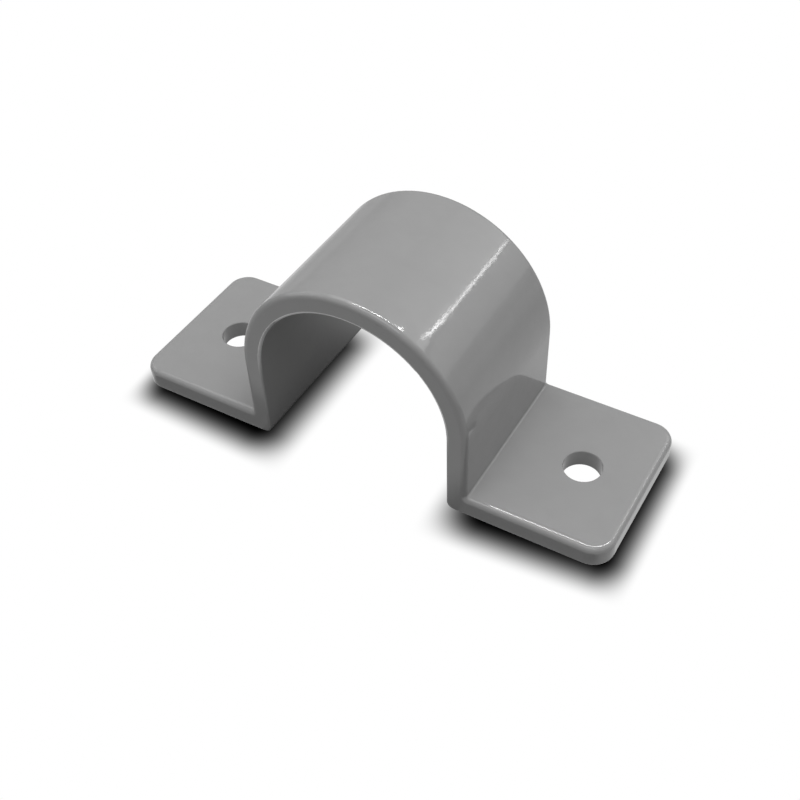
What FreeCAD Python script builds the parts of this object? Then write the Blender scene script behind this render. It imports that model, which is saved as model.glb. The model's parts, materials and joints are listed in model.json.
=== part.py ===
# Two-hole conduit strap, moulded in one piece: a half-round saddle over the conduit on two
# short straight legs, and two flat feet with one screw hole each.
# Millimetres. X runs from foot to foot, Y along the conduit, Z up from the mounting surface.
# The origin is the middle of the mounting surface, under the crown.
import FreeCAD, Part
import math
import os

from FreeCAD import Vector

# driving dimensions, the seat for the conduit
seat_diameter = 33.4         # the outside diameter of a 1 inch conduit, and the clear width between the legs
seat_height = 15.0           # the seat's centre above the mounting surface, where the straight legs begin

# driving dimensions, the wall and the feet
wall = 3.4                   # thickness of the saddle and the legs
foot_thickness = 3.6
foot_length = 23.6           # from the leg's outer face to the end of the foot
strap_width = 30.0           # along the conduit
foot_corner_radius = 3.7     # the feet's corners, seen from above

# driving dimensions, the screw holes
hole_diameter = 6.4
hole_from_leg = 13.1         # from the leg's outer face to the hole's centre
hole_rim = 0.1               # broken edge of the upper mouth
hole_relief = 0.5            # bevel of the lower mouth, which lies on the mounting surface

# driving dimensions, the moulded edges
outer_edge_radius = 1.0      # rim of the upper and outer surface
inner_edge_radius = 0.35     # rim of the seat and of the underside
crease_radius = 0.35         # where the leg meets the top of the foot
heel_radius = 1.3            # where the seat turns into the underside of the foot

# what follows from them
seat_radius = seat_diameter / 2
half_width = strap_width / 2
leg_outer = seat_radius + wall
foot_end = leg_outer + foot_length
hole_x = leg_outer + hole_from_leg
overall_height = seat_height + seat_radius + wall


def point(x, z):
    """A point of the section, which lies in the plane of the strap's front face."""
    return Vector(x, -half_width, z)


def line(start, end):
    return Part.LineSegment(point(*start), point(*end)).toShape()


def arc(centre, radius, from_degrees, to_degrees):
    """An arc of the section, through its own middle."""
    spots = []
    for degrees in (from_degrees, (from_degrees + to_degrees) / 2, to_degrees):
        turn = math.radians(degrees)
        spots.append(point(centre[0] + radius * math.cos(turn), centre[1] + radius * math.sin(turn)))
    return Part.Arc(*spots).toShape()


def upper_line():
    """The upper and outer side of the section, from the right foot's end to the left one's."""
    crease_x = leg_outer + crease_radius
    crease_z = foot_thickness + crease_radius
    return [
        line((foot_end, foot_thickness), (crease_x, foot_thickness)),
        arc((crease_x, crease_z), crease_radius, 270, 180),
        line((leg_outer, crease_z), (leg_outer, seat_height)),
        arc((0, seat_height), leg_outer, 0, 180),
        line((-leg_outer, seat_height), (-leg_outer, crease_z)),
        arc((-crease_x, crease_z), crease_radius, 0, -90),
        line((-crease_x, foot_thickness), (-foot_end, foot_thickness)),
    ]


def lower_line():
    """The underside of the feet and the seat, from the right foot's end to the left one's."""
    heel_x = seat_radius + heel_radius
    return [
        line((foot_end, 0), (heel_x, 0)),
        arc((heel_x, heel_radius), heel_radius, 270, 180),
        line((seat_radius, heel_radius), (seat_radius, seat_height)),
        arc((0, seat_height), seat_radius, 0, 180),
        line((-seat_radius, seat_height), (-seat_radius, heel_radius)),
        arc((-heel_x, heel_radius), heel_radius, 0, -90),
        line((-heel_x, 0), (-foot_end, 0)),
    ]


def plan_block():
    """A block with the strap's outline seen from above: a rectangle with round corners."""
    block = Part.makeBox(2 * foot_end, strap_width, 2 * overall_height, point(-foot_end, -overall_height / 2))
    uprights = [edge for edge in block.Edges if abs(edge.tangentAt(edge.FirstParameter).z) > 0.9]
    return block.makeFillet(foot_corner_radius, uprights)


def runs_on(edge, surface):
    """True where an edge lies on a surface all along."""
    for share in (0.1, 0.5, 0.9):
        place = edge.FirstParameter + share * (edge.LastParameter - edge.FirstParameter)
        if Part.Vertex(edge.valueAt(place)).distToShape(surface)[0] > 0.001:
            return False
    return True


def rim(body, skin, plan_side):
    """The closed edge where one skin of the strap meets its outline seen from above."""
    return [edge for edge in body.Edges if runs_on(edge, skin) and runs_on(edge, plan_side)]


def screw_hole(side):
    """The cylinder cut out of one foot: side is 1 on the right and -1 on the left."""
    below = Vector(side * hole_x, 0, -foot_thickness)
    return Part.makeCylinder(hole_diameter / 2, 3 * foot_thickness, below)


def hole_mouths(body, height):
    """The mouths of both screw holes at one height."""
    mouths = []
    for edge in body.Edges:
        if not isinstance(edge.Curve, Part.Circle):
            continue
        upright = abs(edge.Curve.Axis.z) > 0.9 and abs(edge.Curve.Center.z - height) < 0.001
        if upright and abs(edge.Curve.Radius - hole_diameter / 2) < 0.001:
            mouths.append(edge)
    return mouths


def conduit_strap():
    upper = upper_line()
    lower = lower_line()
    ends = [
        line((foot_end, 0), (foot_end, foot_thickness)),
        line((-foot_end, 0), (-foot_end, foot_thickness)),
    ]
    across = Vector(0, strap_width, 0)
    section = Part.Face(Part.Wire(Part.__sortEdges__(upper + lower + ends)))
    block = plan_block()
    body = section.extrude(across).common(block)

    upper_skin = Part.Wire(upper).extrude(across)
    lower_skin = Part.Wire(lower).extrude(across)
    plan_side = Part.makeCompound([face for face in block.Faces if abs(face.normalAt(0, 0).z) < 0.1])
    body = body.makeFillet(outer_edge_radius, rim(body, upper_skin, plan_side))
    body = body.makeFillet(inner_edge_radius, rim(body, lower_skin, plan_side))

    for side in (1, -1):
        body = body.cut(screw_hole(side))
    body = body.makeChamfer(hole_rim, hole_mouths(body, foot_thickness))
    return body.makeChamfer(hole_relief, hole_mouths(body, 0))


os.makedirs("parts", exist_ok=True)
strap = conduit_strap()
strap.exportStep("parts/conduit_strap.step")
print("conduit_strap", round(strap.Volume), "mm3,", len(strap.Faces), "faces, valid:", strap.isValid())
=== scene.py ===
import json
import math

import bpy
import numpy as np
from mathutils import Matrix, Quaternion, Vector


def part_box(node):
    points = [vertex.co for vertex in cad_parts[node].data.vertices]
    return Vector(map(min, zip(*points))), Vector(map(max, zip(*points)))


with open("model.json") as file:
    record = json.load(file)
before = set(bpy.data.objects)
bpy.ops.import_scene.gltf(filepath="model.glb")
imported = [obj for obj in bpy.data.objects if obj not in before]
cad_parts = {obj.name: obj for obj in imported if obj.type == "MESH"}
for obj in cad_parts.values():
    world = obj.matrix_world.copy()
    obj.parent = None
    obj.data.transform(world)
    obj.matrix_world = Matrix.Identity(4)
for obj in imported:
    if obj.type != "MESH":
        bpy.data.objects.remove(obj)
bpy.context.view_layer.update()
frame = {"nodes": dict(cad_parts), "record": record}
print("frame: loaded", ", ".join(frame["nodes"]))

millimetre = 0.001      # in metres


# an sRGB hex colour as the linear red, green, blue and alpha that the shaders take
def toLinear(hexColour):
    channels = [int(hexColour[i:i + 2], 16) / 255 for i in (1, 3, 5)]
    linear = [c / 12.92 if c <= 0.04045 else ((c + 0.055) / 1.055) ** 2.4 for c in channels]
    return (*linear, 1.0)


# One shader node with its own settings; an input takes a number, a colour or another node's output. It
# goes by its name, or by its place where names repeat: a Mix node mixes numbers at 2 and 3 into output 0,
# and colours at 6 and 7 into output 2.
def addNode(tree, kind, settings=None, inputs=None):
    node = tree.nodes.new(kind)
    for name, value in (settings or {}).items():
        setattr(node, name, value)
    for name, value in (inputs or {}).items():
        if isinstance(value, bpy.types.NodeSocket):
            tree.links.new(value, node.inputs[name])
        else:
            node.inputs[name].default_value = value
    return node


# an empty material, its node tree and the node that its surface goes into
def newMaterial(name):
    material = bpy.data.materials.new(name)
    material.use_nodes = True
    tree = material.node_tree
    tree.nodes.clear()
    return material, tree, tree.nodes.new("ShaderNodeOutputMaterial")


# the unit vector at so many degrees round from +X toward +Y, and so many up
def direction(azimuth, elevation):
    turn, rise = math.radians(azimuth), math.radians(elevation)
    return Vector((math.cos(turn) * math.cos(rise), math.sin(turn) * math.cos(rise), math.sin(rise)))


# the plastic
pvcSkin = {
    "paleColour": "#9A9A9A",       # the mid grey body, where the pigment lies a little thinner
    "darkColour": "#949494",       # and where it lies a little thicker
    "cloudSize": 4.0,              # millimetres across one cloud of pigment
    "cloudRange": (0.3, 0.7),      # the clouds' values at the best polish and at the least
    "indexOfRefraction": 1.53,     # rigid PVC
    "polished": 0.09,              # roughness where the mould was polished best
    "dull": 0.12,                  # and where it was least
    "coreDull": 0.38,              # and on the arch's inner face, moulded against the core
    "coreReach": 0.2,              # millimetres past the seat's radius that count as that face
    "waveSize": 2.6,               # millimetres from wave to wave of the skin, sunk as it cooled
    "waveDepth": 0.02,             # millimetres
    "peelSize": 0.8,               # millimetres across the finer unevenness
    "peelDepth": 0.007,            # millimetres
    "sinkStart": 10.5,             # millimetres before the middle, where the skin starts to sink to the front
    "sinkDepth": 0.155,            # millimetres that it has sunk at the front edge
    "archHeight": (12.0, 20.0),    # millimetres up, from no arch to all arch; the legs and feet stay flat
    "paintedHighlightColour": "#E6E6E6",       # a painted highlight: a pale line on the arch's inner front edge
    "paintedHighlightWidth": 0.42,             # millimetres from the inner face and from the front one
}


# Rigid PVC, injection moulded in a polished mould: an even grey body under a smooth, glossy skin. The
# skin cools with faint waves, so a narrow light is reflected as a ragged line, and it sinks a little
# toward the front edge, where the line turns. The pigment is mixed in with very soft clouds, and a pale
# line on the arch's inner front edge is a painted highlight.
def mouldedRigidPvc(finish, shape):
    material, tree, output = newMaterial("mouldedRigidPvc")
    place = addNode(tree, "ShaderNodeTexCoord").outputs["Object"]
    axes = addNode(tree, "ShaderNodeSeparateXYZ", inputs={0: place})
    archStart, archFull = finish["archHeight"]
    arch = addNode(tree, "ShaderNodeMapRange", {"interpolation_type": "SMOOTHSTEP"}, {
        "Value": axes.outputs["Z"],
        "From Min": archStart * millimetre, "From Max": archFull * millimetre})

    # the distance from the seat's axis: the length of X and of the height over the axis, and that height
    # is none below it, where the legs go straight down
    section = addNode(tree, "ShaderNodeVectorMath", {"operation": "MULTIPLY_ADD"}, {
        0: place, 1: (1.0, 0.0, 1.0), 2: (0.0, 0.0, -shape["seatHeight"])})
    upper = addNode(tree, "ShaderNodeVectorMath", {"operation": "MAXIMUM"}, {
        0: section.outputs[0], 1: (-1.0, 0.0, 0.0)})
    fromAxis = addNode(tree, "ShaderNodeVectorMath", {"operation": "LENGTH"}, {0: upper.outputs[0]})
    radius = fromAxis.outputs["Value"]

    # the colour: clouds of pigment, and a painted highlight, a pale line near the inner face and near the
    # front one, only up on the arch
    clouds = addNode(tree, "ShaderNodeTexNoise", inputs={
        "Vector": place, "Scale": 1 / (finish["cloudSize"] * millimetre), "Detail": 3.0, "Roughness": 0.55})
    pigment = addNode(tree, "ShaderNodeMix", {"data_type": "RGBA"}, {
        0: clouds.outputs["Fac"], 6: toLinear(finish["darkColour"]), 7: toLinear(finish["paleColour"])})
    atInner = addNode(tree, "ShaderNodeMath", {"operation": "LESS_THAN"}, {
        0: radius, 1: shape["seatRadius"] + finish["paintedHighlightWidth"] * millimetre})
    atFront = addNode(tree, "ShaderNodeMath", {"operation": "LESS_THAN"}, {
        0: axes.outputs["Y"], 1: finish["paintedHighlightWidth"] * millimetre - shape["halfWidth"]})
    atEdge = addNode(tree, "ShaderNodeMath", {"operation": "MULTIPLY"}, {
        0: atInner.outputs[0], 1: atFront.outputs[0]})
    paintedHighlightMask = addNode(tree, "ShaderNodeMath", {"operation": "MULTIPLY"}, {
        0: atEdge.outputs[0], 1: arch.outputs["Result"]})
    # the pale colour of the painted highlight, laid over the pigment
    colour = addNode(tree, "ShaderNodeMix", {"data_type": "RGBA"}, {
        0: paintedHighlightMask.outputs[0], 6: pigment.outputs[2], 7: toLinear(finish["paintedHighlightColour"])})

    # the polish, which follows the clouds, and none of it on the inner face
    bestPolish, leastPolish = finish["cloudRange"]
    polish = addNode(tree, "ShaderNodeMapRange", inputs={
        "Value": clouds.outputs["Fac"], "From Min": bestPolish, "From Max": leastPolish,
        "To Min": finish["polished"], "To Max": finish["dull"]})
    core = addNode(tree, "ShaderNodeMath", {"operation": "LESS_THAN"}, {
        0: radius, 1: shape["seatRadius"] + finish["coreReach"] * millimetre})
    roughness = addNode(tree, "ShaderNodeMix", {"data_type": "FLOAT"}, {
        0: core.outputs[0], 2: polish.outputs["Result"], 3: finish["coreDull"]})

    # the sink, on the outer face: nothing up to its start, then the square of the way from there to the
    # front edge
    way = addNode(tree, "ShaderNodeMapRange", inputs={
        "Value": axes.outputs["Y"],
        "From Min": -finish["sinkStart"] * millimetre, "From Max": -shape["halfWidth"]})
    fall = addNode(tree, "ShaderNodeMath", {"operation": "POWER"}, {0: way.outputs["Result"], 1: 2.0})
    depth = addNode(tree, "ShaderNodeMath", {"operation": "MULTIPLY"}, {
        0: fall.outputs[0], 1: arch.outputs["Result"]})
    outside = addNode(tree, "ShaderNodeMath", {"operation": "GREATER_THAN"}, {
        0: radius, 1: (shape["seatRadius"] + shape["topRadius"]) / 2})
    sunk = addNode(tree, "ShaderNodeBump", {"invert": True}, {
        "Height": depth.outputs[0], "Strength": outside.outputs[0],
        "Distance": finish["sinkDepth"] * millimetre})

    # the waves and the finer unevenness, each added to what lies under it
    normal = sunk.outputs["Normal"]
    for size, relief in (("waveSize", "waveDepth"), ("peelSize", "peelDepth")):
        noise = addNode(tree, "ShaderNodeTexNoise", inputs={
            "Vector": place, "Scale": 1 / (finish[size] * millimetre), "Detail": 1.0})
        bump = addNode(tree, "ShaderNodeBump", inputs={
            "Height": noise.outputs["Fac"], "Normal": normal,
            "Strength": 1.0, "Distance": finish[relief] * millimetre})
        normal = bump.outputs["Normal"]

    skin = addNode(tree, "ShaderNodeBsdfPrincipled", inputs={
        "Base Color": colour.outputs[2], "Roughness": roughness.outputs[0],
        "Normal": normal, "IOR": finish["indexOfRefraction"]})
    tree.links.new(skin.outputs["BSDF"], output.inputs["Surface"])
    return material


mounts = {mount["name"]: mount for mount in frame["record"]["mounts"]}
seat, screws = mounts["conduit_seat"], mounts["screw_holes"]
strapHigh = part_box("conduit_strap")[1]                # its highest corner
strapShape = {
    "halfWidth": strapHigh[1],
    "footEnd": strapHigh[0],                          # from the middle to a foot's far end
    "seatHeight": seat["pos_m"][2],
    "seatRadius": seat["dims"]["r_mm"] * millimetre,  # to the arch's inner face, and to a foot's near end
    "topRadius": strapHigh[2] - seat["pos_m"][2],     # from the seat's axis to the arch's outer face
    "holePlace": screws["dims"]["spacing_x_mm"] * millimetre / 2,
    "holeRadius": screws["dims"]["hole_r_mm"] * millimetre,
}
strap = frame["nodes"]["conduit_strap"]
strap.data.materials.clear()
strap.data.materials.append(mouldedRigidPvc(pvcSkin, strapShape))
print("strap: moulded PVC skin in place")


# the floor
studioFloor = {
    "radius": 1.2,
    "gap": 0.00005,                     # below the mounting surface
    "corners": 96,
    "bounceColour": "#707070",          # what it sends back to the object
    "shadowPlace": (0.0015, -0.0026),   # how far the contact shadow lies from the feet
    "shadowTurn": -0.56,                # degrees
    "shadowTaper": 0.057,               # how much narrower it gets toward a foot's far end
    "shadowSoft": (0.0050, 0.0034, 0.0043),   # half of its soft rim on a foot's near, far and long sides
    "shadowCurve": 2.5,                 # the power that its light is raised to, which darkens its rim
    "holeRim": 0.0006,                  # how far the lit paper goes past each screw hole, under its bevel
    "archLevel": 0.36,                  # light left on the reflected paper under the arch
    "archSpread": 0.009,                # how far that shade goes past the legs
    "archSoft": 0.009,                  # half of its soft rim
    "nookSpread": 0.002,                # how far the contact shadow between the legs reaches under the feet
    "stripReach": 0.007,                # how far the strip of shade before the feet reaches on that paper
    "stripSoft": (0.004, 0.001, 0.003),  # half of its soft rim by the legs, by the feet and at its front
    "stripLevel": 0.25,                 # light left in it
    "poolRadius": (0.03, 0.12),         # where the light on the reflected paper begins to fall, and ends
    "poolLevel": (0.85, 0.42),          # how bright it is there
    "onceReflected": 1.5,               # the ray depth that parts a reflection from one inside another
}


# how far inside an outline a place lies, 1 inside and 0 outside: the product of one soft step for each
# side, and a side is a distance's output, where its step is, half of its width, and its two values
def softOutline(tree, sides):
    inside = 1.0
    for distance, edge, soft, first, last in sides:
        step = addNode(tree, "ShaderNodeMapRange", {"interpolation_type": "SMOOTHSTEP"}, {
            "Value": distance, "From Min": edge - soft, "From Max": edge + soft,
            "To Min": first, "To Max": last})
        product = addNode(tree, "ShaderNodeMath", {"operation": "MULTIPLY"}, {0: inside, 1: step.outputs[0]})
        inside = product.outputs[0]
    return inside


# White paper, seen as plain white with the feet's soft contact shadow. The gloss sees it darker under
# the arch, between the legs, in a strip before the feet and away from the pool of light, and bounced
# light sees it grey.
def studioPaper(settings, shape):
    material, tree, output = newMaterial("studioPaper")
    place = addNode(tree, "ShaderNodeTexCoord").outputs["Object"]
    axes = addNode(tree, "ShaderNodeSeparateXYZ", inputs={0: place})
    folded = addNode(tree, "ShaderNodeVectorMath", {"operation": "ABSOLUTE"}, {0: place}).outputs[0]
    foldedAxes = addNode(tree, "ShaderNodeSeparateXYZ", inputs={0: folded})

    # the contact shadow: the feet's outline, moved away from the light, and none inside the screw holes
    moved = addNode(tree, "ShaderNodeMapping", inputs={
        "Vector": place, "Location": [-offset for offset in (*settings["shadowPlace"], 0.0)],
        "Rotation": (0.0, 0.0, math.radians(settings["shadowTurn"]))})
    shade = addNode(tree, "ShaderNodeVectorMath", {"operation": "ABSOLUTE"}, {0: moved.outputs[0]}).outputs[0]
    shadeAxes = addNode(tree, "ShaderNodeSeparateXYZ", inputs={0: shade})
    tapered = addNode(tree, "ShaderNodeVectorMath", {"operation": "DOT_PRODUCT"}, {
        0: shade, 1: (settings["shadowTaper"], 1.0, 0.0)})
    footMiddle = (shape["seatRadius"] + shape["footEnd"]) / 2
    longSide = shape["halfWidth"] + settings["shadowTaper"] * footMiddle
    nearSoft, farSoft, longSoft = settings["shadowSoft"]
    feet = softOutline(tree, [
        (shadeAxes.outputs["X"], shape["seatRadius"], nearSoft, 0.0, 1.0),
        (shadeAxes.outputs["X"], shape["footEnd"], farSoft, 1.0, 0.0),
        (tapered.outputs["Value"], longSide, longSoft, 1.0, 0.0)])
    lit = addNode(tree, "ShaderNodeMath", {"operation": "SUBTRACT"}, {0: 1.0, 1: feet})
    contact = addNode(tree, "ShaderNodeMath", {"operation": "POWER"}, {
        0: lit.outputs[0], 1: settings["shadowCurve"]})
    fromHole = addNode(tree, "ShaderNodeVectorMath", {"operation": "DISTANCE"}, {
        0: folded, 1: (shape["holePlace"], 0.0, 0.0)})
    inHole = addNode(tree, "ShaderNodeMath", {"operation": "LESS_THAN"}, {
        0: fromHole.outputs["Value"], 1: shape["holeRadius"] + settings["holeRim"]})
    seen = addNode(tree, "ShaderNodeMath", {"operation": "MAXIMUM"}, {
        0: contact.outputs[0], 1: inHole.outputs[0]})

    # what the gloss sees: the pool of light, less what the arch and the feet's front edges keep off
    archEnd = shape["seatRadius"] + settings["archSpread"]
    arch = softOutline(tree, [
        (foldedAxes.outputs["X"], archEnd, settings["archSoft"], 1.0, 0.0),
        (foldedAxes.outputs["Y"], shape["halfWidth"], settings["archSoft"], 1.0, 0.0)])
    archLight = addNode(tree, "ShaderNodeMapRange", inputs={
        "Value": arch, "To Min": 1.0, "To Max": settings["archLevel"]})
    legSoft, footSoft, frontSoft = settings["stripSoft"]
    strip = softOutline(tree, [
        (foldedAxes.outputs["X"], shape["seatRadius"], legSoft, 0.0, 1.0),
        (foldedAxes.outputs["X"], shape["footEnd"], footSoft, 1.0, 0.0),
        (axes.outputs["Y"], -shape["halfWidth"], footSoft, 1.0, 0.0),
        (axes.outputs["Y"], -shape["halfWidth"] - settings["stripReach"], frontSoft, 0.0, 1.0)])
    stripLight = addNode(tree, "ShaderNodeMapRange", inputs={
        "Value": strip, "To Min": 1.0, "To Max": settings["stripLevel"]})
    fromMiddle = addNode(tree, "ShaderNodeVectorMath", {"operation": "LENGTH"}, {0: place})
    pool = addNode(tree, "ShaderNodeMapRange", {"interpolation_type": "SMOOTHSTEP"}, {
        "Value": fromMiddle.outputs["Value"],
        "From Min": settings["poolRadius"][0], "From Max": settings["poolRadius"][1],
        "To Min": settings["poolLevel"][0], "To Max": settings["poolLevel"][1]})

    # and between the legs the contact shadow, but not in a reflection inside another
    pastLegs = addNode(tree, "ShaderNodeMath", {"operation": "GREATER_THAN"}, {
        0: foldedAxes.outputs["X"], 1: shape["seatRadius"] + settings["nookSpread"]})
    ray = addNode(tree, "ShaderNodeLightPath")
    again = addNode(tree, "ShaderNodeMath", {"operation": "GREATER_THAN"}, {
        0: ray.outputs["Ray Depth"], 1: settings["onceReflected"]})
    unshaded = addNode(tree, "ShaderNodeMath", {"operation": "MAXIMUM"}, {
        0: pastLegs.outputs[0], 1: again.outputs[0]})
    nookLight = addNode(tree, "ShaderNodeMath", {"operation": "MAXIMUM"}, {
        0: contact.outputs[0], 1: unshaded.outputs[0]})
    reflected = pool.outputs[0]
    for share in (archLight, nookLight, stripLight):
        product = addNode(tree, "ShaderNodeMath", {"operation": "MULTIPLY"}, {
            0: reflected, 1: share.outputs[0]})
        reflected = product.outputs[0]

    level = addNode(tree, "ShaderNodeMix", {"data_type": "FLOAT"}, {
        0: ray.outputs["Is Camera Ray"], 2: reflected, 3: seen.outputs[0]})
    white = addNode(tree, "ShaderNodeEmission", inputs={"Color": level.outputs[0], "Strength": 1.0})
    bounced = addNode(tree, "ShaderNodeBsdfDiffuse", inputs={"Color": toLinear(settings["bounceColour"])})
    mirrored = addNode(tree, "ShaderNodeMath", {"operation": "MAXIMUM"}, {
        0: ray.outputs["Is Glossy Ray"], 1: ray.outputs["Is Transmission Ray"]})
    direct = addNode(tree, "ShaderNodeMath", {"operation": "MAXIMUM"}, {
        0: ray.outputs["Is Camera Ray"], 1: mirrored.outputs[0]})
    both = addNode(tree, "ShaderNodeMixShader", inputs={
        0: direct.outputs[0], 1: bounced.outputs[0], 2: white.outputs[0]})
    tree.links.new(both.outputs[0], output.inputs["Surface"])
    return material


# a flat disc: one ring of points at the radius, round the origin, as a single face
def layFloor(settings, shape):
    turn = np.linspace(0, 2 * np.pi, settings["corners"], endpoint=False)
    height = np.full_like(turn, -settings["gap"])
    ring = np.stack([settings["radius"] * np.cos(turn), settings["radius"] * np.sin(turn), height], axis=1)
    mesh = bpy.data.meshes.new("studioFloor")
    mesh.from_pydata(ring.tolist(), [], [list(range(len(ring)))])
    floor = bpy.data.objects.new("studioFloor", mesh)
    bpy.context.scene.collection.objects.link(floor)
    floor.data.materials.append(studioPaper(settings, shape))


layFloor(studioFloor, strapShape)
print("floor: laid")


# the lamps, each a flat panel that looks at the strap; angles in degrees, and a brightness of 1 is white
studioLamps = {
    "skylight": {"azimuth": 55, "elevation": 72, "width": 44, "height": 30, "brightness": 3.58,
                 "diffuseOnly": True},
    "topFront": {"azimuth": 270, "elevation": 68, "width": 44, "height": 22, "brightness": 1.8},
    "topLeft": {"azimuth": 170, "elevation": 66, "width": 40, "height": 26, "brightness": 1.36},
    "leftWall": {"azimuth": 190, "elevation": 30, "width": 46, "height": 36, "brightness": 0.66},
    "rightWall": {"azimuth": 5, "elevation": 36, "width": 46, "height": 40, "brightness": 0.16},
    "frontFill": {"azimuth": 250, "elevation": 30, "width": 46, "height": 30, "brightness": 0.36},
    # the window: its glow, which fades upward, the wall below, its bright sill and the foot of its frame
    "windowGlow": {"azimuth": 62, "elevation": 47.3, "width": 44, "height": 34, "roll": -25,
                   "brightness": 1.82, "topShare": 0.1},
    "windowWall": {"azimuth": 42, "elevation": 20, "width": 50, "height": 20, "brightness": 0.45,
                   "glossOnly": True},
    "windowSill": {"azimuth": 53.2, "elevation": 31.7, "width": 6.2, "height": 1.3, "roll": -23,
                   "brightness": 11.8, "glossOnly": True},
    "windowFrame": {"azimuth": 48.6, "elevation": 36.1, "width": 1.4, "height": 5.6, "roll": 18,
                    "brightness": 20.0, "glossOnly": True},
    "tubeLight": {"azimuth": 85.3, "elevation": 70.6, "width": 46, "height": 4, "roll": 37.3,
                  "brightness": 34.0, "glossOnly": True},
}
lampReach = {
    "distance": 0.6,                    # from the point that the lamps look at
    "aim": (0.0, 0.0, 0.012),
    "glossDepth": 2.5,                  # a lamp for the gloss only shows in no reflection inside another
    "fullDepth": 100.0,                 # and the others show at any ray depth
}


# a rectangular panel on a sphere round the strap, turned to face it; its sides are angles seen from there
def hangLamp(name, settings, reach):
    toward = direction(settings["azimuth"], settings["elevation"])
    glossOnly = settings.get("glossOnly", False)
    light = bpy.data.lights.new(name, "AREA")
    light.shape = "RECTANGLE"
    light.size = 2 * reach["distance"] * math.tan(math.radians(settings["width"] / 2))
    light.size_y = 2 * reach["distance"] * math.tan(math.radians(settings["height"] / 2))
    light.energy = settings["brightness"] * math.pi * light.size * light.size_y
    light.use_nodes = True
    tree = light.node_tree
    tree.nodes.clear()

    # from the panel's foot to its top the light falls by a square to its share there
    spot = addNode(tree, "ShaderNodeNewGeometry").outputs["Parametric"]
    height = addNode(tree, "ShaderNodeSeparateXYZ", inputs={0: spot}).outputs["Y"]
    share = addNode(tree, "ShaderNodeMapRange", inputs={
        "Value": height, "To Min": 1.0, "To Max": math.sqrt(settings.get("topShare", 1.0))})
    fading = addNode(tree, "ShaderNodeMath", {"operation": "POWER"}, {0: share.outputs[0], 1: 2.0})
    ray = addNode(tree, "ShaderNodeLightPath")
    shown = addNode(tree, "ShaderNodeMath", {"operation": "LESS_THAN"}, {
        0: ray.outputs["Ray Depth"], 1: reach["glossDepth"] if glossOnly else reach["fullDepth"]})
    strength = addNode(tree, "ShaderNodeMath", {"operation": "MULTIPLY"}, {
        0: fading.outputs[0], 1: shown.outputs[0]})
    glow = addNode(tree, "ShaderNodeEmission", inputs={"Strength": strength.outputs[0]})
    output = tree.nodes.new("ShaderNodeOutputLight")
    tree.links.new(glow.outputs[0], output.inputs["Surface"])

    lamp = bpy.data.objects.new(name, light)
    lamp.location = Vector(reach["aim"]) + toward * reach["distance"]
    lamp.rotation_mode = "QUATERNION"
    roll = Quaternion((0, 0, 1), math.radians(settings.get("roll", 0)))
    lamp.rotation_quaternion = toward.to_track_quat("Z", "Y") @ roll
    lamp.visible_camera = False
    lamp.visible_diffuse = not glossOnly
    lamp.visible_glossy = not settings.get("diffuseOnly", False)
    bpy.context.scene.collection.objects.link(lamp)


for lampName, lampSettings in studioLamps.items():
    hangLamp(lampName, lampSettings, lampReach)
print("lamps:", len(studioLamps), "panels")


# the room: even light from all round, and white behind everything for the camera
studioRoom = {"colour": "#FFFFFF", "strength": 0.264}


def lightRoom(settings):
    world = bpy.data.worlds.new("studioRoom")
    world.use_nodes = True
    tree = world.node_tree
    tree.nodes.clear()
    output = tree.nodes.new("ShaderNodeOutputWorld")
    colour = toLinear(settings["colour"])
    lit = addNode(tree, "ShaderNodeBackground", inputs={"Color": colour, "Strength": settings["strength"]})
    seen = addNode(tree, "ShaderNodeBackground", inputs={"Color": colour, "Strength": 1.0})
    ray = addNode(tree, "ShaderNodeLightPath")
    both = addNode(tree, "ShaderNodeMixShader", inputs={
        0: ray.outputs["Is Camera Ray"], 1: lit.outputs[0], 2: seen.outputs[0]})
    tree.links.new(both.outputs[0], output.inputs["Surface"])
    bpy.context.scene.world = world


lightRoom(studioRoom)
print("room: lit")


# the photograph's view
photoView = {
    "azimuth": 29.84, "elevation": 46.29, "roll": -1.04,   # degrees, round the target from the front, -Y
    "target": (0.00633, -0.00158, 0.0), "distance": 0.1923,
    "lens": 51.506, "sensor": 36.0,                        # millimetres
    "shift": (-0.0375, 0.0375),                            # shares of the picture's side
    "clip": (0.01, 10.0),                                  # the nearest and the farthest it sees
}


# a camera on a sphere round the target, turned about its own axis by the roll
def photoCamera(view):
    front = -90                        # degrees from +X round to -Y
    back = direction(front + view["azimuth"], view["elevation"])
    roll = math.radians(view["roll"])
    level = (-back).cross(Vector((0, 0, 1))).normalized()
    upright = level.cross(-back)
    right = math.cos(roll) * level + math.sin(roll) * upright
    up = math.cos(roll) * upright - math.sin(roll) * level
    data = bpy.data.cameras.new("photoCamera")
    data.lens = view["lens"]
    data.sensor_width = view["sensor"]
    data.shift_x, data.shift_y = view["shift"]
    data.clip_start, data.clip_end = view["clip"]
    camera = bpy.data.objects.new("photoCamera", data)
    place = Vector(view["target"]) + back * view["distance"]
    camera.matrix_world = Matrix.Translation(place) @ Matrix((right, up, back)).transposed().to_4x4()
    bpy.context.scene.collection.objects.link(camera)
    bpy.context.scene.camera = camera


photoCamera(photoView)
bpy.context.scene.view_settings.view_transform = "Standard"
print("camera: set")
